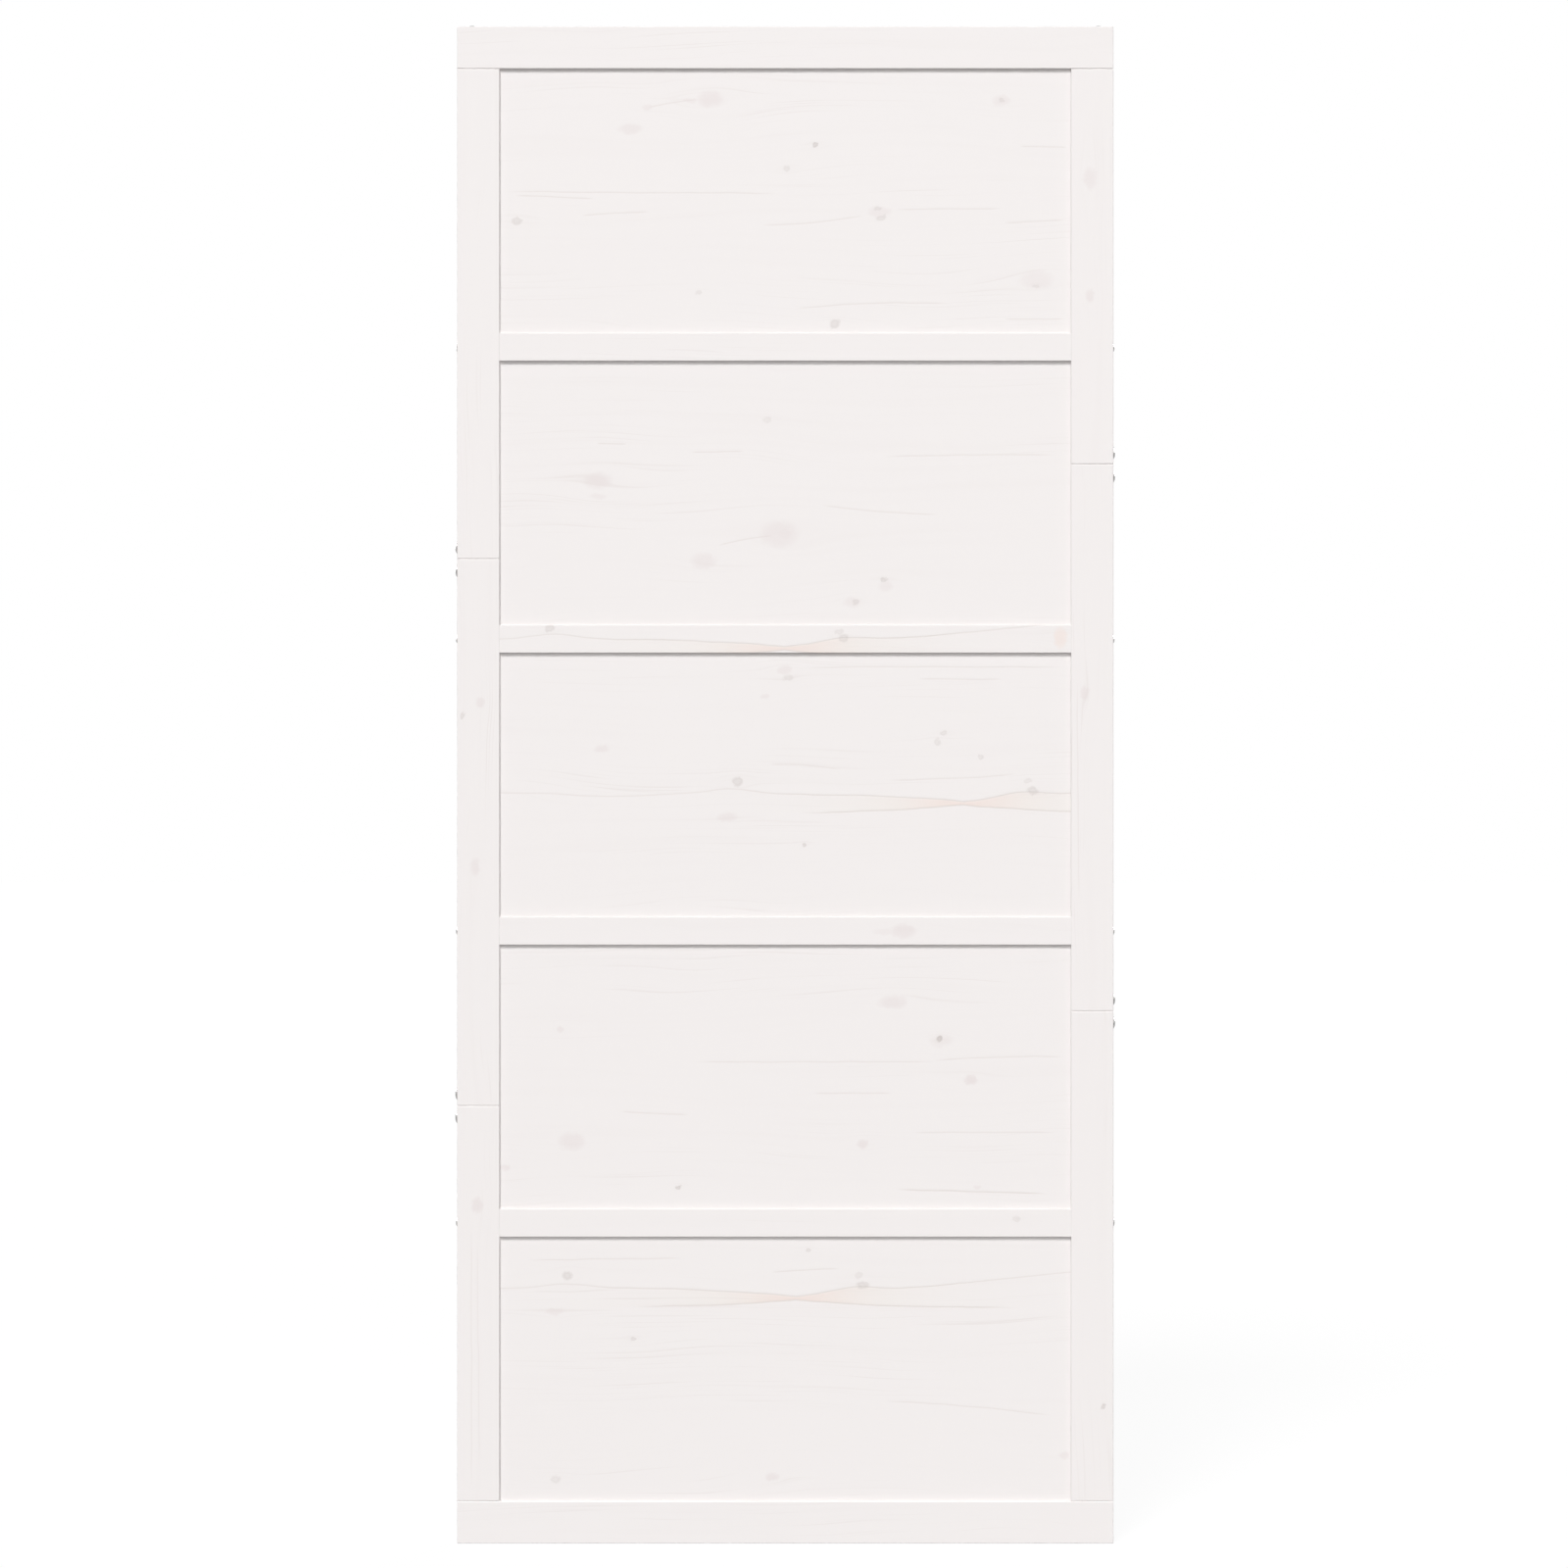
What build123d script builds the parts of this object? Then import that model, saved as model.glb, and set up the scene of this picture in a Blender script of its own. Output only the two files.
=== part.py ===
from build123d import *
import os

# Knock-down barn door leaf: a bolted pine frame of grooved bars round five flat panels.
# Millimetres. The origin is in the middle of the top rail's front face, where the hangers bolt on.
# X runs to the right seen from the front, Y runs from the front face to the back, Z runs up.

# Driving sizes of the leaf
LEAF_WIDTH = 900.0
LEAF_HEIGHT = 2080.0
STOCK_THICKNESS = 18.0
STILE_WIDTH = 58.0
END_RAIL_WIDTH = 58.0
MID_RAIL_WIDTH = 38.0
PANEL_COUNT = 5

# Each stile is three lengths set end to end, in the opposite order on the two sides
SHORT_STILE_LENGTH = 542.0
MIDDLE_STILE_LENGTH = 750.0

# Groove round the inner edges of the frame, which takes the panels and the stub tenons
PANEL_THICKNESS = 9.6
GROOVE_DEPTH = 10.0
PANEL_FACE_GAP = 0.2
PANEL_SIDE_GAP = 1.0
PANEL_TOP_GAP = 1.0
TENON_FACE_GAP = 0.2
TENON_END_GAP = 0.5

# Eased edges: along the leaf's outer edges, at the frame's joint lines and along the sight edges
OUTER_BEVEL = 0.6
JOINT_BEVEL = 1.0
SIGHT_BEVEL = 0.4

# Frame bolts, which hold the mid rails and the end rails to the stiles
FRAME_SHANK_DIAMETER = 6.0
FRAME_BOLT_LENGTH = 100.0
FRAME_HEAD_DIAMETER = 12.0
FRAME_HEAD_HEIGHT = 2.2
END_BOLT_INSET = 20.0

# Joint bolts, a pair astride each stile joint, which hold the stile's ends to the panel's edge
JOINT_SHANK_DIAMETER = 5.0
JOINT_BOLT_LENGTH = 90.0
JOINT_HEAD_DIAMETER = 17.0
JOINT_HEAD_HEIGHT = 3.0
JOINT_BOLT_OFFSET = 16.0

# What all the bolts share, with flats in place of the thread on the shank and in its hole
HEAD_TAPER = 3.0
FLAT_COUNT = 8
SHANK_GAP = 0.2
TIP_GAP = 2.0

# The bottom bolts' heads are sunk, so that the bottom edge is flat
SINK_SIDE_GAP = 0.75
SINK_SPARE_DEPTH = 0.7

# Sizes that follow from these
GROOVE_WIDTH = PANEL_THICKNESS + 2 * PANEL_FACE_GAP
TENON_THICKNESS = GROOVE_WIDTH - 2 * TENON_FACE_GAP
TENON_LENGTH = GROOVE_DEPTH - TENON_END_GAP
SIGHT_WIDTH = LEAF_WIDTH - 2 * STILE_WIDTH
STILE_LENGTH = LEAF_HEIGHT - 2 * END_RAIL_WIDTH
LONG_STILE_LENGTH = STILE_LENGTH - MIDDLE_STILE_LENGTH - SHORT_STILE_LENGTH
SIGHT_HEIGHT = (STILE_LENGTH - (PANEL_COUNT - 1) * MID_RAIL_WIDTH) / PANEL_COUNT
RAIL_PITCH = SIGHT_HEIGHT + MID_RAIL_WIDTH
SINK_DEPTH = FRAME_HEAD_HEIGHT + SINK_SPARE_DEPTH

# Places that follow from these
SIDE_X = LEAF_WIDTH / 2
MIDDLE_Y = STOCK_THICKNESS / 2
TOP_Z = END_RAIL_WIDTH / 2
BOTTOM_Z = TOP_Z - LEAF_HEIGHT
STILE_TOP_Z = TOP_Z - END_RAIL_WIDTH
FIRST_MID_RAIL_Z = STILE_TOP_Z - SIGHT_HEIGHT - MID_RAIL_WIDTH / 2

SIDES = {"left": -1, "right": 1}
STILE_PIECES = ("upper", "middle", "lower")
STILE_LENGTHS = {
    "left": (LONG_STILE_LENGTH, MIDDLE_STILE_LENGTH, SHORT_STILE_LENGTH),
    "right": (SHORT_STILE_LENGTH, MIDDLE_STILE_LENGTH, LONG_STILE_LENGTH),
}
FRAME_BOLT = (FRAME_SHANK_DIAMETER, FRAME_BOLT_LENGTH, FRAME_HEAD_DIAMETER, FRAME_HEAD_HEIGHT)
JOINT_BOLT = (JOINT_SHANK_DIAMETER, JOINT_BOLT_LENGTH, JOINT_HEAD_DIAMETER, JOINT_HEAD_HEIGHT)


def end_rail(center_z, turn):
    """A full-width rail, bevelled all round, with the groove in its inner edge."""
    section = Rectangle(STOCK_THICKNESS, END_RAIL_WIDTH)
    section = chamfer(section.vertices().group_by(Axis.Y)[0], JOINT_BEVEL)
    rail = extrude(Plane.YZ * section, LEAF_WIDTH / 2, both=True)
    outer_edges = rail.faces().sort_by(Axis.Z)[-1].edges()
    rail = chamfer(outer_edges + rail.edges().filter_by(Axis.Z), OUTER_BEVEL)
    groove_z = (GROOVE_DEPTH - END_RAIL_WIDTH) / 2
    rail -= Pos(0, 0, groove_z) * Box(LEAF_WIDTH, GROOVE_WIDTH, GROOVE_DEPTH)
    return Pos(0, MIDDLE_Y, center_z) * turn * rail


def mid_rail(center_z):
    """A rail between the stiles: grooved along both edges, with a stub tenon on each end."""
    section = Rectangle(STOCK_THICKNESS, MID_RAIL_WIDTH)
    section = chamfer(section.vertices(), SIGHT_BEVEL)
    rail = extrude(Plane.YZ * section, SIGHT_WIDTH / 2, both=True)
    groove_z = (MID_RAIL_WIDTH - GROOVE_DEPTH) / 2
    for side in SIDES.values():
        rail -= Pos(0, 0, side * groove_z) * Box(SIGHT_WIDTH, GROOVE_WIDTH, GROOVE_DEPTH)
    tenon_width = MID_RAIL_WIDTH - 2 * GROOVE_DEPTH
    rail += Box(SIGHT_WIDTH + 2 * TENON_LENGTH, TENON_THICKNESS, tenon_width)
    return Pos(0, MIDDLE_Y, center_z) * rail


def stile_piece(length, tenoned):
    """One length of a stile, centred, with its outer edge towards -X and any stub tenon on top."""
    profile = chamfer(Rectangle(STOCK_THICKNESS, length).vertices(), JOINT_BEVEL)
    piece = extrude(Plane.YZ * profile, STILE_WIDTH / 2, both=True)
    piece = chamfer(piece.edges().filter_by(Axis.Z).group_by(Axis.X)[0], OUTER_BEVEL)
    piece = chamfer(piece.edges().filter_by(Axis.Z).group_by(Axis.X)[-1], SIGHT_BEVEL)
    groove_x = (STILE_WIDTH - GROOVE_DEPTH) / 2
    piece -= Pos(groove_x, 0, 0) * Box(GROOVE_DEPTH, GROOVE_WIDTH, length)
    if tenoned:
        tenon_z = (length + TENON_LENGTH) / 2
        tenon = Box(STILE_WIDTH - GROOVE_DEPTH, TENON_THICKNESS, TENON_LENGTH)
        piece += Pos(-GROOVE_DEPTH / 2, 0, tenon_z) * tenon
    return piece


def stile(side_name):
    """The three lengths of one stile in their places, by node name."""
    side = SIDES[side_name]
    facing = Rot(0, 0, 0) if side < 0 else Rot(0, 0, 180)
    top_z = STILE_TOP_Z
    lengths = {}
    for place, length in zip(STILE_PIECES, STILE_LENGTHS[side_name]):
        piece = stile_piece(length, tenoned=place != "middle")
        upright = Rot(180, 0, 0) if place == "lower" else Rot(0, 0, 0)
        middle = Pos(side * (SIDE_X - STILE_WIDTH / 2), MIDDLE_Y, top_z - length / 2)
        lengths[f"{side_name}_stile_{place}"] = middle * facing * upright * piece
        top_z -= length
    return lengths


def panel(sight_top_z):
    """A flat panel that stands in the groove of the rail below it, with room at its top and sides."""
    width = SIGHT_WIDTH + 2 * (GROOVE_DEPTH - PANEL_SIDE_GAP)
    height = SIGHT_HEIGHT + 2 * GROOVE_DEPTH - PANEL_TOP_GAP
    foot_z = sight_top_z - SIGHT_HEIGHT - GROOVE_DEPTH
    return Pos(0, MIDDLE_Y, foot_z + height / 2) * Box(width, PANEL_THICKNESS, height)


def bolt(shank_diameter, length, head_diameter, head_height):
    """A bolt along Z: the seat of its head is at zero, with the tapered head above and the shank below."""
    head = Cone(head_diameter / 2, head_diameter / 2 - HEAD_TAPER, head_height)
    shank = extrude(RegularPolygon(shank_diameter / 2, FLAT_COUNT), -length)
    return Pos(0, 0, head_height / 2) * head + shank


def bore(seat, shank_diameter, length):
    """The hole for a bolt's shank, from the seat of its head to a little past its tip."""
    return seat * extrude(RegularPolygon(shank_diameter / 2 + SHANK_GAP, FLAT_COUNT), -length - TIP_GAP)


def sink(seat):
    """The wider hole that takes a bottom bolt's head."""
    radius = FRAME_HEAD_DIAMETER / 2 + SINK_SIDE_GAP
    return seat * Pos(0, 0, SINK_DEPTH / 2) * Cylinder(radius, SINK_DEPTH)


def joint_bolt_heights(side_name):
    """The heights of the joint bolts of one stile, from the top down."""
    upper, middle, _ = STILE_LENGTHS[side_name]
    joints = (STILE_TOP_Z - upper, STILE_TOP_Z - upper - middle)
    return [joint + offset for joint in joints for offset in (JOINT_BOLT_OFFSET, -JOINT_BOLT_OFFSET)]


# The wooden pieces, by node name
mid_rail_heights = [FIRST_MID_RAIL_Z - number * RAIL_PITCH for number in range(PANEL_COUNT - 1)]
wood = {
    "top_rail": end_rail(0, Rot(0, 0, 0)),
    "bottom_rail": end_rail(BOTTOM_Z + END_RAIL_WIDTH / 2, Rot(180, 0, 0)),
}
for number, height in enumerate(mid_rail_heights, 1):
    wood[f"mid_rail_{number}"] = mid_rail(height)
for side_name in SIDES:
    wood.update(stile(side_name))
for number in range(PANEL_COUNT):
    wood[f"panel_{number + 1}"] = panel(STILE_TOP_Z - number * RAIL_PITCH)

# Each bolt's seat, where Z points out of the wood, and its sizes
seats = {}
sinks = []
for side_name, side in SIDES.items():
    outward = (side, 0, 0)
    for number, height in enumerate(mid_rail_heights, 1):
        seat = Plane((side * SIDE_X, MIDDLE_Y, height), z_dir=outward)
        seats[f"rail_bolt_{side_name}_{number}"] = (seat, FRAME_BOLT)
    for number, height in enumerate(joint_bolt_heights(side_name), 1):
        seat = Plane((side * SIDE_X, MIDDLE_Y, height), z_dir=outward)
        seats[f"joint_bolt_{side_name}_{number}"] = (seat, JOINT_BOLT)
    end_bolt_x = side * (SIDE_X - END_BOLT_INSET)
    top_seat = Plane((end_bolt_x, MIDDLE_Y, TOP_Z), z_dir=(0, 0, 1))
    bottom_seat = Plane((end_bolt_x, MIDDLE_Y, BOTTOM_Z + SINK_DEPTH), z_dir=(0, 0, -1))
    seats[f"top_bolt_{side_name}"] = (top_seat, FRAME_BOLT)
    seats[f"bottom_bolt_{side_name}"] = (bottom_seat, FRAME_BOLT)
    sinks.append(sink(bottom_seat))

# Every bolt hole is drilled through all the pieces that it meets
bores = [bore(seat, sizes[0], sizes[1]) for seat, sizes in seats.values()]
pieces = {name: piece - (bores + sinks) for name, piece in wood.items()}
for name, (seat, sizes) in seats.items():
    pieces[name] = seat * bolt(*sizes)

os.makedirs("parts", exist_ok=True)
for name, piece in pieces.items():
    export_step(piece, f"parts/{name}.step")
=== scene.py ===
import math
from collections import namedtuple

import bmesh
import bpy
from mathutils import Matrix, Vector


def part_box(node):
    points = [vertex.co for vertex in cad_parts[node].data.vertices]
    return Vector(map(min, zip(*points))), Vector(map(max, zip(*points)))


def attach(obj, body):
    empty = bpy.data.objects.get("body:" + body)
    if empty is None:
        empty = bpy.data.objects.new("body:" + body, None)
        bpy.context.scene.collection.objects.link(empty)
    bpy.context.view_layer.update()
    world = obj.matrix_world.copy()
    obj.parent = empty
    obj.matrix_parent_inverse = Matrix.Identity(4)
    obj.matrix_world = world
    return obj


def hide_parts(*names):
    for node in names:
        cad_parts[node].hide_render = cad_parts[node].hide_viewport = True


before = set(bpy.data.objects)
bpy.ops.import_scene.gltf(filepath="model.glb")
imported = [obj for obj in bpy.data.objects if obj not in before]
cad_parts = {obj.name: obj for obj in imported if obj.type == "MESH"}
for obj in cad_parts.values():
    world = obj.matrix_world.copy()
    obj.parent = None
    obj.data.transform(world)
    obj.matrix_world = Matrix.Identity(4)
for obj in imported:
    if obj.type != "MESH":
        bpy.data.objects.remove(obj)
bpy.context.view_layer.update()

# The leaf, from the frame
LEAF_LOW = Vector(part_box("bottom_rail")[0])
LEAF_HIGH = Vector(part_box("top_rail")[1])
LEAF_MIDDLE = (LEAF_LOW + LEAF_HIGH) / 2
LEAF_WIDTH = LEAF_HIGH.x - LEAF_LOW.x
FRONT_Y = LEAF_LOW.y

# The photograph's frame, with the leaf's middle and width at its front face in pixels
PHOTO_PIXELS = 1600
LEAF_MIDDLE_PIXEL = (801.3, 801.0)
LEAF_WIDTH_PIXELS = 669.8
METRES_PER_PIXEL = LEAF_WIDTH / LEAF_WIDTH_PIXELS

MILLIMETRE = 0.001

# Camera, in metres and millimetres
CAMERA_DISTANCE = 4.5
SENSOR_WIDTH = 36.0

# Paint and what shows through it, in linear colour
PAINT = (0.905, 0.868, 0.858)
GRAIN = (0.78, 0.72, 0.70)
TAN = (0.89, 0.842, 0.795)
HEART = (0.895, 0.78, 0.735)
SOFT_KNOT = (0.80, 0.725, 0.72)
DARK_KNOT = (0.63, 0.575, 0.555)
STEEL = (0.34, 0.338, 0.33)
STEEL_HAZE = (0.42, 0.417, 0.408)
WHITE = (1.0, 1.0, 1.0, 1.0)

# How far the patterns of one board lie from the next one's: along and across the grain, and through it
SEED_STEPS = (1.7, 0.9, 0.4)
RING_SEED_STEPS = (3.1, 2.3, 1.1)

# Waves, streaks and tones of the grain, by their frequencies along, across and through it
WAVE_STRETCH = (1.6, 5.0, 5.0)
WAVE_HEIGHT = 0.09
FINE_STRETCH = (4.5, 420.0, 60.0)
FINE_LEVELS = (0.58, 0.74)
FINE_AMOUNT = 0.36
BROAD_STRETCH = (1.5, 60.0, 30.0)
BROAD_LEVELS = (0.5, 0.75)
BROAD_AMOUNT = 0.05
TONE_STRETCH = (2.0, 14.0, 3.0)
TONE_LEVELS = (0.42, 0.68)
CALM_AMOUNT = 0.1
DRIFT_STRETCH = (14.0, 2.0, 2.0)
DRIFT_WIDTH = 0.004

# Knots: ragged edges, the eye of bent grain round each, and where tight and soft ones fade out
RAGGED_SCALE = 130.0
RAGGED_WIDTH = 0.009
EYE_LENGTHS = 4.0
EYE_HEIGHTS = 2.2
EYE_PUSH = -0.72
DARK_RUFFLE = 0.5
SOFT_RUFFLE = 0.2
RUFFLE_LEVELS = (0.45, 0.62)
RUFFLE_AMOUNTS = (0.1, 0.6)
DARK_EDGE = (0.35, 1.6)
DARK_CORE = (0.0, 0.4)
DARK_CORE_AMOUNT = 0.75
SOFT_EDGE = (0.1, 1.7)

# The paint film: brush marks, a fine peel, and how far each raises the surface
FILM_STRETCH = (60.0, 900.0, 900.0)
FILM_HEIGHT = 0.3
PEEL_SCALE = 420.0
PEEL_HEIGHT = 0.25
PEEL_LEVELS = (0.2, 0.8)
KNOT_HOLLOW = 0.6
PAINT_BUMP = {"Strength": 0.25, "Distance": 0.0004}
PAINT_ROUGHNESS = (0.42, 0.56)

# Resin lines: their soft edge, in metres from the line's middle
RESIN_EDGE = (0.0004, 0.0015)

# A hump that is 0 at a line's ends and 1 half way, and its height where the line is at full strength
RESIN_FULL = 0.5

# Heartwood: two resin lines that open from a waist, in metres along and across the grain
HEART_WAIST = 0.0022
HEART_RISE = 0.0125
HEART_REACH = 0.12
HEART_EDGE = 0.001
HEART_LINE = 0.85
UPPER_FADE = (0.16, 0.36)
UPPER_FAR = 0.55
LOWER_LEFT_END = (-0.23, -0.17)
LOWER_RIGHT_END = (0.25, 0.31)

Knot = namedtuple("Knot", "x y length height strength colour")
Resin = namedtuple("Resin", "x y end_x end_y bow strength")
Bend = namedtuple("Bend", "along reach lift")
Tint = namedtuple("Tint", "colour reach amount")

# How the upper line dips and bends up past the knots at its sides, in metres from the waist
UPPER_BENDS = [
    Bend(-0.490, 0.080, -0.0044),
    Bend(-0.316, 0.038, 0.0060),
    Bend(0.083, 0.040, 0.0062),
    Bend(0.450, 0.200, 0.0242),
]

# The tints between the two lines, which fade with the distance from the waist
HEART_TINTS = [Tint(TAN, 0.17, 0.65), Tint(HEART, 0.07, 0.95)]

# Plated steel
HAZE_SCALE = 600.0
HAZE_LEVELS = (0.3, 0.7)
SCRATCH_SCALE = 2600.0
STEEL_BUMP = {"Strength": 0.08, "Distance": 0.0001}
STEEL_ROUGHNESS = (0.14, 0.24)

# Bolts, of the same sizes as the solids they replace
JOINT_HEAD_HEIGHT = 0.0030
JOINT_SHANK_RADIUS = 0.0025
FRAME_HEAD_HEIGHT = 0.0022
FRAME_SHANK_RADIUS = 0.0030

# Shares of a head's height and radius, and of the shank's radius and the socket's width
RIM_HEIGHT = 0.32
RIM_BEVEL = 0.06
SOCKET_DEPTH = 0.8
SOCKET_WIDTH = 0.744
SOCKET_BEVEL = 0.04
SOCKET_LIP = 1.12
TIP_WIDTH = 0.7
TIP_LENGTH = 0.3
DOME_STEPS = 7
TURN_STEPS = 48
SOCKET_CORNERS = 6
SHARP_DEGREES = 35

# The stage: how the floor looks, what it throws back, and the world's even light
FLOOR_REACH = 30.0
FLOOR_GLOW = 0.93
FLOOR_VEIL = 0.07
FLOOR_BOUNCE = 0.29
FLOOR_DULL = 0.03
WORLD_LIGHT = 0.11
KEY_BOUNCING = 0.45


def soft(x, y, length, height, strength=0.45):
    """A pale, blurred knot at a pixel of the photograph, sized in mm along and across the grain."""
    return Knot(x, y, length, height, strength, SOFT_KNOT)


def dark(x, y, length, height, strength=0.6):
    """A small tight knot with a dark ring, given as a soft one is."""
    return Knot(x, y, length, height, strength, DARK_KNOT)


def warm(x, y, length, height, strength):
    """A patch of orange heartwood, given as a soft knot is."""
    return Knot(x, y, length, height, strength, HEART)


def resin(x, y, end_x, end_y, bow=0.0, strength=0.5):
    """A thin line along the grain between two pixels of the photograph, with its upward bow in pixels."""
    return Resin(x, y, end_x, end_y, bow, strength)


# Knots that show through the paint, piece by piece
KNOTS = {
    "panel_1": [
        soft(725, 100, 34, 22, 0.48), soft(704, 102, 20, 8, 0.35), soft(643, 131, 30, 14, 0.4),
        soft(660, 109, 14, 7, 0.35), dark(832, 147, 8, 6, 0.75), dark(803, 171, 9, 8, 0.3),
        soft(1022, 102, 24, 14, 0.35), dark(1022, 102, 9, 6, 0.4), dark(527, 225, 14, 11, 0.43),
        soft(897, 216, 30, 14, 0.35), dark(896, 212, 10, 6, 0.36), dark(899, 222, 12, 7, 0.36),
        soft(1058, 285, 44, 26, 0.3), dark(1057, 292, 10, 5, 0.29), dark(713, 298, 8, 6, 0.28),
        dark(852, 330, 13, 12, 0.47),
    ],
    "panel_2": [
        soft(610, 490, 36, 22, 0.42), soft(610, 506, 22, 9, 0.3), soft(795, 545, 50, 34, 0.4),
        soft(800, 545, 24, 20, 0.5), soft(718, 572, 34, 22, 0.38), dark(902, 591, 10, 6, 0.54),
        soft(904, 598, 18, 14, 0.3), dark(873, 614, 9, 8, 0.4), soft(870, 614, 22, 14, 0.3),
        dark(783, 428, 12, 8, 0.22),
    ],
    "mid_rail_2": [
        dark(561, 641, 13, 10, 0.43), dark(861, 651, 14, 10, 0.43), dark(856, 645, 12, 8, 0.29),
        warm(1082, 651, 18, 28, 0.65),
    ],
    "panel_3": [
        dark(804, 692, 13, 9, 0.32), soft(800, 684, 18, 12, 0.4), soft(780, 711, 11, 7, 0.35),
        soft(614, 764, 20, 10, 0.4), dark(957, 757, 10, 10, 0.32), dark(963, 748, 9, 6, 0.35),
        dark(1001, 772, 10, 6, 0.36), dark(752, 798, 14, 13, 0.47), dark(1054, 807, 16, 11, 0.47),
        dark(1049, 797, 11, 6, 0.25), soft(742, 834, 26, 12, 0.36), dark(821, 862, 6, 5, 0.56),
    ],
    "mid_rail_3": [soft(922, 950, 32, 20, 0.5), soft(905, 951, 40, 8, 0.25)],
    "panel_4": [
        soft(911, 1023, 36, 18, 0.45), dark(959, 1060, 8, 7, 0.9), soft(960, 1062, 30, 16, 0.25),
        soft(991, 1102, 18, 14, 0.6), soft(572, 1050, 10, 8, 0.4), soft(583, 1165, 36, 24, 0.43),
        soft(880, 1168, 14, 12, 0.55), dark(692, 1212, 7, 6, 0.68), soft(997, 1212, 10, 6, 0.4),
        soft(515, 1192, 14, 10, 0.45),
    ],
    "mid_rail_4": [dark(1037, 1244, 11, 9, 0.29)],
    "panel_5": [
        dark(579, 1302, 13, 13, 0.47), dark(880, 1312, 17, 11, 0.47), dark(876, 1302, 10, 8, 0.25),
        soft(565, 1339, 22, 10, 0.36), dark(646, 1367, 7, 6, 0.42), dark(825, 1276, 7, 5, 0.45),
        dark(567, 1510, 13, 10, 0.29), soft(788, 1508, 18, 11, 0.45), soft(1086, 1486, 14, 9, 0.4),
    ],
    "left_stile_middle": [dark(472, 730, 8, 6, 0.45), soft(490, 717, 16, 12), soft(485, 885, 24, 12)],
    "left_stile_lower": [soft(487, 1230, 22, 16, 0.5)],
    "right_stile_upper": [soft(1112, 182, 30, 18, 0.4), soft(1112, 302, 18, 12)],
    "right_stile_middle": [soft(1107, 707, 20, 12, 0.45)],
    "right_stile_lower": [dark(1126, 1435, 7, 6)],
}

# Long grain lines that stand out, piece by piece
RESIN_LINES = {
    "panel_1": [
        resin(512, 195, 800, 197), resin(524, 199, 608, 202), resin(592, 219, 664, 215),
        resin(776, 229, 884, 219, -2.5), resin(912, 213, 1024, 212), resin(1024, 227, 1088, 224),
        resin(808, 315, 972, 309, 3.0), resin(1040, 149, 1090, 150), resin(1024, 325, 1088, 325),
        resin(660, 109, 712, 101, 1.0),
    ],
    "panel_2": [
        resin(900, 466, 1080, 464, 1.0), resin(704, 461, 760, 460), resin(836, 514, 960, 524, -3.0),
        resin(732, 556, 790, 547, 1.5), resin(608, 452, 640, 453),
    ],
    "panel_3": [
        resin(784, 780, 859, 785, 2.0), resin(905, 796, 1040, 790, -1.5), resin(816, 681, 1090, 681, 0.5),
        resin(936, 693, 1024, 693),
    ],
    "panel_4": [
        resin(704, 1084, 960, 1084), resin(950, 1083, 1088, 1079, 2.0), resin(632, 1135, 704, 1138),
        resin(928, 1156, 1080, 1156), resin(912, 1214, 1072, 1219, 0.0, 0.8), resin(828, 1116, 912, 1116),
    ],
    "panel_5": [
        resin(786, 1299, 858, 1295, 1.0), resin(536, 1286, 700, 1285), resin(900, 1430, 1075, 1445, 2.0),
    ],
    "left_stile_lower": [resin(481, 1245, 481, 1525, 0.0, 0.3), resin(487, 1262, 489, 1500, 0.0, 0.3)],
    "right_stile_middle": [resin(1099, 690, 1101, 925, 0.0, 0.3)],
}

# The pixels of the heartwood figures' waists
HEARTS = {"panel_3": (983, 820), "panel_5": (812, 1325), "mid_rail_2": (800, 662)}


def on_board(x, y, upright=False):
    """Where a pixel of the photograph lies on the leaf's front face, along and across the grain."""
    place = (
        LEAF_MIDDLE.x + (x - LEAF_MIDDLE_PIXEL[0]) * METRES_PER_PIXEL,
        LEAF_MIDDLE.z - (y - LEAF_MIDDLE_PIXEL[1]) * METRES_PER_PIXEL,
    )
    return place[::-1] if upright else place


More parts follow.
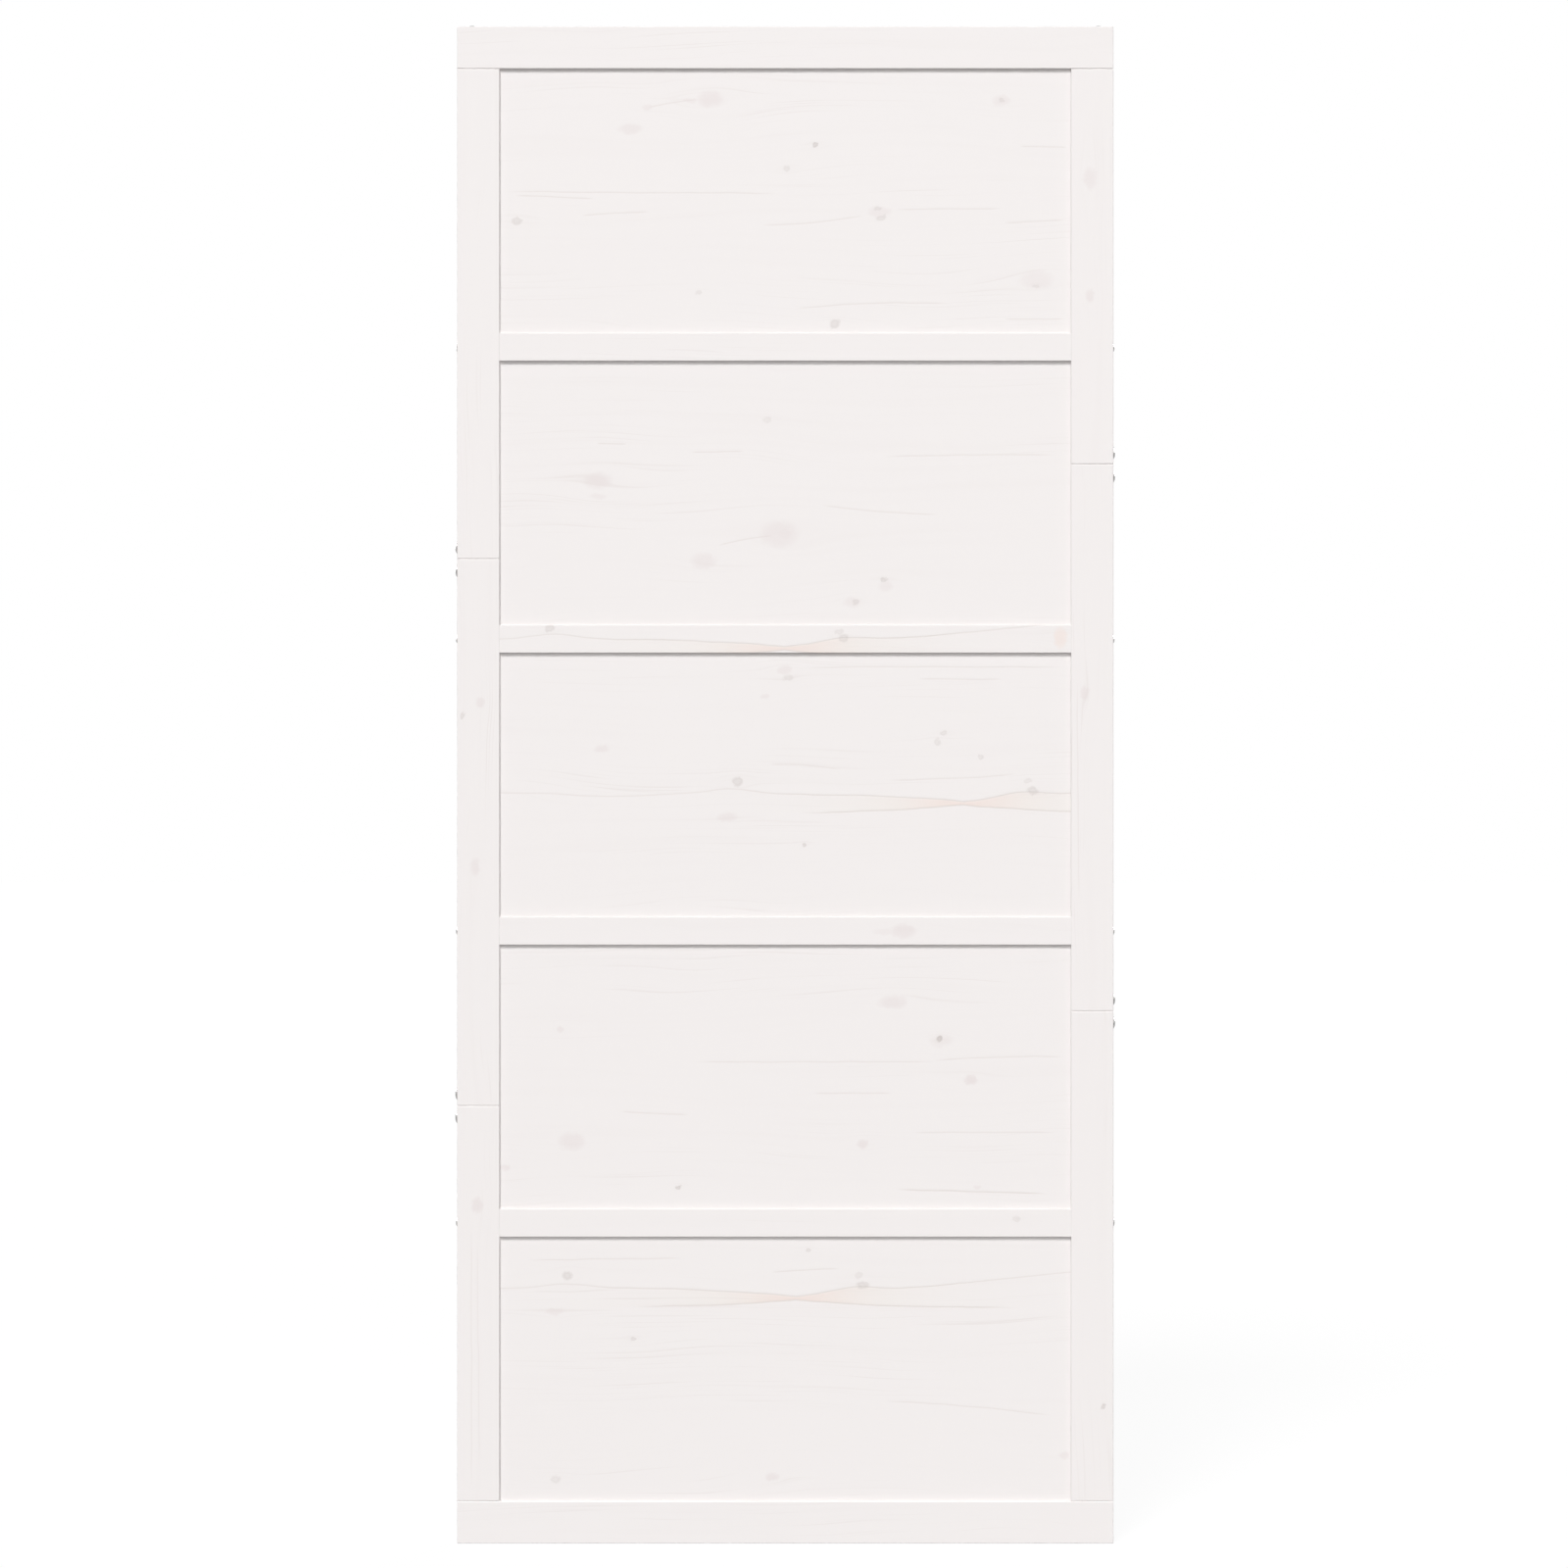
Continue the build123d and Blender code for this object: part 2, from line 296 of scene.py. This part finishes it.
class Graph:
    """The node tree of a material or world. A value is a number, a vector or another node's output."""

    def __init__(self, owner):
        owner.use_nodes = True
        self.owner = owner
        self.tree = owner.node_tree
        self.tree.nodes.clear()

    def node(self, kind, inputs=None, **settings):
        made = self.tree.nodes.new(kind)
        for key, value in settings.items():
            setattr(made, key, value)
        for key, value in (inputs or {}).items():
            self.put(made.inputs[key], value)
        return made

    def put(self, socket, value):
        if isinstance(value, bpy.types.NodeSocket):
            self.tree.links.new(value, socket)
        else:
            socket.default_value = value

    def math(self, operation, first, second=0.0, clamp=False):
        inputs = {0: first, 1: second}
        return self.node("ShaderNodeMath", inputs, operation=operation, use_clamp=clamp).outputs[0]

    def vector(self, operation, first, second, output=0):
        made = self.node("ShaderNodeVectorMath", {0: first, 1: second}, operation=operation)
        return made.outputs[output]

    def combine(self, x, y, z):
        return self.node("ShaderNodeCombineXYZ", {0: x, 1: y, 2: z}).outputs[0]

    def noise(self, place, scale=1.0, detail=2.0):
        inputs = {"Vector": place, "Scale": scale, "Detail": detail}
        return self.node("ShaderNodeTexNoise", inputs, noise_dimensions="3D").outputs["Fac"]

    def stretched_noise(self, place, stretch, detail=2.0):
        return self.noise(self.vector("MULTIPLY", place, stretch), detail=detail)

    def ramp(self, value, low, high, to_low=0.0, to_high=1.0, smooth=True):
        inputs = {"Value": value, 1: low, 2: high, 3: to_low, 4: to_high}
        kind = "SMOOTHSTEP" if smooth else "LINEAR"
        return self.node("ShaderNodeMapRange", inputs, interpolation_type=kind).outputs[0]

    def mix(self, amount, first, second):
        made = self.node("ShaderNodeMix", data_type="RGBA", clamp_factor=True)
        for key, value in (("Factor_Float", amount), ("A_Color", first), ("B_Color", second)):
            socket = next(s for s in made.inputs if s.identifier == key)
            if isinstance(value, tuple):
                value = (*value, 1.0)
            self.put(socket, value)
        return next(s for s in made.outputs if s.identifier == "Result_Color")

    def finish(self, shader, output="ShaderNodeOutputMaterial"):
        self.node(output, {"Surface": shader.outputs[0]})
        return self.owner


def squared_distance(g, place, centre, length, height):
    """The squared distance from a point of the grain plane, in units of a spot's size."""
    offset = g.vector("SUBTRACT", place, (*centre, 0.0))
    scaled = g.vector("MULTIPLY", offset, (1 / length, 1 / height, 0.0))
    return g.vector("DOT_PRODUCT", scaled, scaled, output=1)


def bell(g, square):
    """A smooth hump that is 1 where the squared distance is zero."""
    return g.math("EXPONENT", g.math("MULTIPLY", square, -1.0))


def bell_along(g, distance, reach):
    """A smooth hump that is 1 where the distance is zero and fades over the reach."""
    share = g.math("DIVIDE", distance, reach)
    return bell(g, g.math("MULTIPLY", share, share))


def seeded(g, place, seed, steps):
    """A place moved on by the board's seed, so that no two boards have the same pattern."""
    return g.vector("ADD", place, tuple(seed * step for step in steps))


def knot_spot(g, knot, core):
    """How strongly a knot shows at a squared distance from its middle: tight knots are paler inside."""
    if knot.colour is DARK_KNOT:
        edge = g.ramp(core, *DARK_EDGE, knot.strength, 0.0)
        return g.math("MULTIPLY", edge, g.ramp(core, *DARK_CORE, DARK_CORE_AMOUNT, 1.0))
    return g.ramp(core, *SOFT_EDGE, knot.strength, 0.0)


def knot_marks(g, knots, upright, flat, ragged, across, bent):
    """Masks of the knots by colour, the ruffled grain round them, and the grain bent aside by them."""
    masks = {SOFT_KNOT: 0.0, HEART: 0.0, DARK_KNOT: 0.0}
    halo = 0.0
    for knot in knots:
        centre = on_board(knot.x, knot.y, upright)
        half_length = knot.length * MILLIMETRE / 2
        half_height = knot.height * MILLIMETRE / 2
        core = squared_distance(g, ragged, centre, half_length, half_height)
        eye_size = (EYE_LENGTHS * half_length, EYE_HEIGHTS * half_height)
        eye = bell(g, squared_distance(g, flat, centre, *eye_size))
        offset = g.math("SUBTRACT", across, centre[1])
        bent = g.math("ADD", bent, g.math("MULTIPLY", offset, g.math("MULTIPLY", eye, EYE_PUSH)))
        masks[knot.colour] = g.math("MAXIMUM", masks[knot.colour], knot_spot(g, knot, core))
        ruffle = DARK_RUFFLE if knot.colour is DARK_KNOT else SOFT_RUFFLE
        halo = g.math("MAXIMUM", halo, g.math("MULTIPLY", eye, ruffle * knot.strength))
    return masks, halo, bent


def growth_rings(g, rings, shifted, halo):
    """Thin streaks that come and go, faint broad ones, and the ruffled grain round the knots."""
    fine = g.stretched_noise(rings, FINE_STRETCH)
    broad = g.stretched_noise(rings, BROAD_STRETCH)
    tone = g.stretched_noise(shifted, TONE_STRETCH, detail=1.0)
    calm = g.ramp(tone, *TONE_LEVELS, CALM_AMOUNT, 1.0)
    grain = g.math("MULTIPLY", g.math("MULTIPLY", g.ramp(fine, *FINE_LEVELS), FINE_AMOUNT), calm)
    grain = g.math("ADD", grain, g.math("MULTIPLY", g.ramp(broad, *BROAD_LEVELS), BROAD_AMOUNT))
    ruffled = g.math("MULTIPLY", halo, g.ramp(fine, *RUFFLE_LEVELS, *RUFFLE_AMOUNTS))
    return g.math("ADD", grain, ruffled, clamp=True)


def resin_line(g, line, along, across, upright):
    """A thin line along the grain that fades at its ends."""
    start_along, start_across = on_board(line.x, line.y, upright)
    end_along, end_across = on_board(line.end_x, line.end_y, upright)
    share = g.ramp(along, start_along, end_along, smooth=False)
    hump = g.math("MULTIPLY", g.math("MULTIPLY", share, g.math("SUBTRACT", 1.0, share)), 4.0)
    path = g.ramp(share, 0.0, 1.0, start_across, end_across, smooth=False)
    path = g.math("ADD", path, g.math("MULTIPLY", hump, line.bow * METRES_PER_PIXEL))
    gap = g.math("ABSOLUTE", g.math("SUBTRACT", across, path))
    width = g.ramp(gap, *RESIN_EDGE, 1.0, 0.0)
    return g.math("MULTIPLY", width, g.ramp(hump, 0.0, RESIN_FULL, 0.0, line.strength))


def heartwood(g, colour, grain, along, across, waist):
    """Tints the wood between two resin lines that open from a waist, and adds the lines to the grain."""
    waist_along, waist_across = on_board(*waist)
    side = g.math("SUBTRACT", along, waist_along)
    run = g.math("ABSOLUTE", side)
    rise = g.math("SUBTRACT", across, waist_across)
    closing = g.math("EXPONENT", g.math("MULTIPLY", run, -1 / HEART_REACH))
    opening = g.ramp(closing, 0.0, 1.0, HEART_WAIST + HEART_RISE, HEART_WAIST, smooth=False)

    # How far a point lies above the upper line and below the lower one
    above = g.math("SUBTRACT", rise, opening)
    for bend in UPPER_BENDS:
        hump = bell_along(g, g.math("SUBTRACT", side, bend.along), bend.reach)
        above = g.math("SUBTRACT", above, g.math("MULTIPLY", hump, bend.lift))
    below = g.math("SUBTRACT", g.math("MULTIPLY", rise, -1.0), opening)

    # The upper line runs on and grows fainter, and the lower one ends
    upper = g.ramp(g.math("ABSOLUTE", above), *RESIN_EDGE, HEART_LINE, 0.0)
    upper = g.math("MULTIPLY", upper, g.ramp(run, *UPPER_FADE, 1.0, UPPER_FAR))
    lower = g.ramp(g.math("ABSOLUTE", below), *RESIN_EDGE, HEART_LINE, 0.0)
    lower = g.math("MULTIPLY", lower, g.ramp(side, *LOWER_LEFT_END))
    lower = g.math("MULTIPLY", lower, g.ramp(side, *LOWER_RIGHT_END, 1.0, 0.0))

    inside = g.ramp(g.math("MAXIMUM", above, below), -HEART_EDGE, HEART_EDGE, 1.0, 0.0)
    for tint in HEART_TINTS:
        near = g.math("MULTIPLY", inside, bell_along(g, run, tint.reach))
        colour = g.mix(g.math("MULTIPLY", near, tint.amount), colour, tint.colour)
    return colour, g.math("MAXIMUM", grain, g.math("MAXIMUM", upper, lower))


def painted_pine(name, upright, seed, knots, lines, heart):
    """Thin white paint on a pine board whose grain runs along X, or along Z on an upright piece."""
    g = Graph(bpy.data.materials.new(name))
    axes = g.node("ShaderNodeSeparateXYZ", {0: g.node("ShaderNodeTexCoord").outputs["Object"]})
    along = axes.outputs["Z" if upright else "X"]
    across = axes.outputs["X" if upright else "Z"]
    through = axes.outputs["Y"]
    shifted = seeded(g, g.combine(along, across, through), seed, SEED_STEPS)

    # The grain plane, and a ragged one so that knots are not true ellipses
    flat = g.combine(along, across, 0.0)
    rough = g.math("SUBTRACT", g.noise(shifted, RAGGED_SCALE, detail=3.0), 0.5)
    rough = g.math("MULTIPLY", rough, RAGGED_WIDTH)
    ragged = g.vector("ADD", flat, g.combine(rough, rough, 0.0))

    # The grain, in slow waves and bent round the knots
    wave = g.stretched_noise(shifted, WAVE_STRETCH)
    bent = g.math("ADD", across, g.math("MULTIPLY", wave, WAVE_HEIGHT))
    masks, halo, bent = knot_marks(g, knots, upright, flat, ragged, across, bent)
    rings = seeded(g, g.combine(along, bent, through), seed, RING_SEED_STEPS)
    grain = growth_rings(g, rings, shifted, halo)

    # The lines that stand out wander a little
    drift = g.math("SUBTRACT", g.stretched_noise(shifted, DRIFT_STRETCH), 0.5)
    wander = g.math("ADD", across, g.math("MULTIPLY", drift, DRIFT_WIDTH))
    for line in lines:
        grain = g.math("MAXIMUM", grain, resin_line(g, line, along, wander, upright))

    colour = PAINT
    if heart:
        colour, grain = heartwood(g, colour, grain, along, wander, heart)
    colour = g.mix(grain, colour, GRAIN)
    if knots:
        for knot_colour, mask in masks.items():
            colour = g.mix(mask, colour, knot_colour)

    # The paint film: satin, with the grain and the brush just felt through it
    film = g.stretched_noise(shifted, FILM_STRETCH)
    peel = g.noise(shifted, PEEL_SCALE)
    height = g.math("SUBTRACT", g.math("MULTIPLY", film, FILM_HEIGHT), grain)
    height = g.math("ADD", height, g.math("MULTIPLY", peel, PEEL_HEIGHT))
    height = g.math("SUBTRACT", height, g.math("MULTIPLY", masks[DARK_KNOT], KNOT_HOLLOW))
    bump = g.node("ShaderNodeBump", {"Height": height, **PAINT_BUMP})
    roughness = g.ramp(peel, *PEEL_LEVELS, *PAINT_ROUGHNESS, smooth=False)
    inputs = {"Base Color": colour, "Roughness": roughness, "Normal": bump.outputs["Normal"]}
    return g.finish(g.node("ShaderNodeBsdfPrincipled", inputs))


def plated_steel():
    """Bright plated steel, very finely brushed by tumbling."""
    g = Graph(bpy.data.materials.new("plated_steel"))
    place = g.node("ShaderNodeTexCoord").outputs["Object"]
    haze = g.noise(place, HAZE_SCALE)
    colour = g.mix(g.ramp(haze, *HAZE_LEVELS), STEEL, STEEL_HAZE)
    roughness = g.ramp(haze, *HAZE_LEVELS, *STEEL_ROUGHNESS, smooth=False)
    bump = g.node("ShaderNodeBump", {"Height": g.noise(place, SCRATCH_SCALE), **STEEL_BUMP})
    inputs = {"Base Color": colour, "Roughness": roughness, "Normal": bump.outputs["Normal"]}
    inputs["Metallic"] = 1.0
    return g.finish(g.node("ShaderNodeBsdfPrincipled", inputs))


def shaped_ring(mesh, radius_at, height):
    """A ring of points about Z whose radius depends on the angle."""
    points = []
    for step in range(TURN_STEPS):
        angle = 2 * math.pi * step / TURN_STEPS
        radius = radius_at(angle)
        points.append(mesh.verts.new((radius * math.cos(angle), radius * math.sin(angle), height)))
    return points


def ring(mesh, radius, height):
    """A round ring of points about Z."""
    return shaped_ring(mesh, lambda angle: radius, height)


def hexagon_ring(mesh, across_corners, height):
    """A ring with as many points as the round ones, laid along a hexagon."""
    sector = 2 * math.pi / SOCKET_CORNERS
    flat_distance = across_corners / 2 * math.cos(sector / 2)

    def edge_radius(angle):
        return flat_distance / math.cos(angle % sector - sector / 2)

    return shaped_ring(mesh, edge_radius, height)


def bridge(mesh, lower, upper):
    """Faces between two rings of the same count."""
    count = len(lower)
    for k in range(count):
        following = (k + 1) % count
        mesh.faces.new((lower[k], lower[following], upper[following], upper[k]))


def bolt_mesh(name, shank_radius, length, head_radius, head_height):
    """A bolt along Z with its head's seat at zero: shank, bevelled rim, low dome and hexagon socket."""
    mesh = bmesh.new()
    rim_height = RIM_HEIGHT * head_height
    bevel = RIM_BEVEL * head_radius
    socket_width = SOCKET_WIDTH * head_radius
    lip_radius = SOCKET_LIP * socket_width / 2
    rings = [
        ring(mesh, TIP_WIDTH * shank_radius, -length),
        ring(mesh, shank_radius, TIP_LENGTH * shank_radius - length),
        ring(mesh, shank_radius, 0.0),
        ring(mesh, head_radius - bevel, 0.0),
        ring(mesh, head_radius, bevel),
        ring(mesh, head_radius, rim_height),
    ]
    for step in range(1, DOME_STEPS + 1):
        share = step / DOME_STEPS
        radius = head_radius + (lip_radius - head_radius) * share
        rise = math.sin(share * math.pi / 2)
        rings.append(ring(mesh, radius, rim_height + (head_height - rim_height) * rise))
    rings.append(hexagon_ring(mesh, socket_width, head_height - SOCKET_BEVEL * head_radius))
    rings.append(hexagon_ring(mesh, socket_width, head_height - SOCKET_DEPTH * head_height))
    for lower, upper in zip(rings, rings[1:]):
        bridge(mesh, lower, upper)
    mesh.faces.new(list(reversed(rings[0])))
    mesh.faces.new(rings[-1])
    data = bpy.data.meshes.new(name)
    mesh.to_mesh(data)
    mesh.free()
    for polygon in data.polygons:
        polygon.use_smooth = True
    data.set_sharp_from_angle(angle=math.radians(SHARP_DEGREES))
    return data


def bolt_direction(node):
    """The way a bolt's head points, from its node's name."""
    if node.startswith("top_bolt"):
        return Vector((0, 0, 1))
    if node.startswith("bottom_bolt"):
        return Vector((0, 0, -1))
    return Vector((-1, 0, 0)) if "_left" in node else Vector((1, 0, 0))


def add_bolt(node, steel):
    """Replaces a plain bolt of the frame with a finished one in the same place and of the same size."""
    low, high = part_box(node)
    outward = bolt_direction(node)
    size = high - low
    middle = (low + high) / 2
    reach = abs(size.dot(outward))
    head_radius = min(size) / 2
    joint = node.startswith("joint_bolt")
    head_height = JOINT_HEAD_HEIGHT if joint else FRAME_HEAD_HEIGHT
    shank_radius = JOINT_SHANK_RADIUS if joint else FRAME_SHANK_RADIUS
    seat = middle + outward * (reach / 2 - head_height)
    data = bolt_mesh(node + "_mesh", shank_radius, reach - head_height, head_radius, head_height)
    turn = outward.to_track_quat("Z", "Y").to_matrix().to_4x4()
    data.transform(Matrix.Translation(seat) @ turn)
    piece = bpy.data.objects.new(node + "_finished", data)
    bpy.context.scene.collection.objects.link(piece)
    data.materials.append(steel)
    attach(piece, "root")
    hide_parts(node)


def dress_wood():
    """Gives every wooden piece its own painted board."""
    names = sorted(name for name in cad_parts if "bolt" not in name)
    for seed, name in enumerate(names, start=1):
        knots = KNOTS.get(name, [])
        lines = RESIN_LINES.get(name, [])
        material = painted_pine("paint_" + name, "stile" in name, seed, knots, lines, HEARTS.get(name))
        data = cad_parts[name].data
        data.materials.clear()
        data.materials.append(material)


def seen_directly(g):
    """1 on rays that show a surface to the camera, in gloss or glass too, and 0 on rays that light."""
    path = g.node("ShaderNodeLightPath")
    seen = g.math("MAXIMUM", path.outputs["Is Camera Ray"], path.outputs["Is Glossy Ray"])
    return g.math("MAXIMUM", seen, path.outputs["Is Transmission Ray"])


def glowing_floor(g, glow, pale):
    """A floor shader that gives off an even light and takes a shadow as far as it is pale."""
    light = g.node("ShaderNodeEmission", {"Color": WHITE, "Strength": glow})
    shade = g.node("ShaderNodeBsdfDiffuse", {"Color": (pale, pale, pale, 1.0)})
    return g.node("ShaderNodeAddShader", {0: light.outputs[0], 1: shade.outputs[0]}).outputs[0]


def white_floor():
    """A floor that looks white with a soft shadow, and throws an even, weaker light back on the leaf."""
    g = Graph(bpy.data.materials.new("floor"))
    back = glowing_floor(g, FLOOR_BOUNCE, FLOOR_DULL)
    look = glowing_floor(g, FLOOR_GLOW, FLOOR_VEIL)
    mixed = g.node("ShaderNodeMixShader", {0: seen_directly(g), 1: back, 2: look})
    data = bpy.data.meshes.new("floor")
    corners = [(x * FLOOR_REACH, y * FLOOR_REACH, 0) for x, y in ((-1, -1), (1, -1), (1, 1), (-1, 1))]
    data.from_pydata(corners, [], [(0, 1, 2, 3)])
    data.materials.append(g.finish(mixed))
    floor = bpy.data.objects.new("floor", data)
    floor.location = (0, 0, LEAF_LOW.z)
    bpy.context.scene.collection.objects.link(floor)


def white_world():
    """A white background for the camera and for reflections, and a dim even light on everything else."""
    g = Graph(bpy.data.worlds.new("studio"))
    dim = g.node("ShaderNodeBackground", {"Color": WHITE, "Strength": WORLD_LIGHT})
    bright = g.node("ShaderNodeBackground", {"Color": WHITE, "Strength": 1.0})
    inputs = {0: seen_directly(g), 1: dim.outputs[0], 2: bright.outputs[0]}
    mixed = g.node("ShaderNodeMixShader", inputs)
    bpy.context.scene.world = g.finish(mixed, "ShaderNodeOutputWorld")


def add_sun(name, towards, strength, spread_degrees, bouncing=1.0):
    """A parallel soft light from the given side, of which only a share bounces on off what it meets.

    White corners would clip if all of a key lamp's light bounced between their faces.
    """
    for part, share in (("bouncing", bouncing), ("direct", 1.0 - bouncing)):
        if share == 0.0:
            continue
        light = bpy.data.lights.new(name + "_" + part, "SUN")
        light.energy = strength * share
        light.angle = math.radians(spread_degrees)
        if part == "direct":
            light.cycles.max_bounces = 0
        lamp = bpy.data.objects.new(name + "_" + part, light)
        lamp.rotation_mode = "QUATERNION"
        lamp.rotation_quaternion = Vector(towards).to_track_quat("Z", "Y")
        bpy.context.scene.collection.objects.link(lamp)


def add_camera():
    """The photograph's view: straight on, from about the height of the leaf's middle."""
    camera = bpy.data.cameras.new("camera")
    camera.sensor_width = SENSOR_WIDTH
    camera.lens = SENSOR_WIDTH * CAMERA_DISTANCE / (PHOTO_PIXELS * METRES_PER_PIXEL)
    holder = bpy.data.objects.new("camera", camera)
    aside = (LEAF_MIDDLE_PIXEL[0] - PHOTO_PIXELS / 2) * METRES_PER_PIXEL
    above = (LEAF_MIDDLE_PIXEL[1] - PHOTO_PIXELS / 2) * METRES_PER_PIXEL
    holder.location = (LEAF_MIDDLE.x - aside, FRONT_Y - CAMERA_DISTANCE, LEAF_MIDDLE.z + above)
    holder.rotation_euler = (math.radians(90), 0, 0)
    bpy.context.scene.collection.objects.link(holder)
    bpy.context.scene.camera = holder


dress_wood()
steel = plated_steel()
for node in sorted(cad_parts):
    if "bolt" in node:
        add_bolt(node, steel)

white_floor()
white_world()
add_sun("key_front", (-0.38, -1.0, 1.25), strength=2.71, spread_degrees=16, bouncing=KEY_BOUNCING)
add_sun("fill_front", (0.2, -1.0, 0.45), strength=0.82, spread_degrees=40)
add_sun("key_back", (0.8, 1.0, 0.3), strength=2.15, spread_degrees=16, bouncing=KEY_BOUNCING)
add_sun("fill_back", (-0.6, 1.0, 0.2), strength=0.82, spread_degrees=18)
add_camera()
bpy.context.scene.view_settings.view_transform = "Standard"
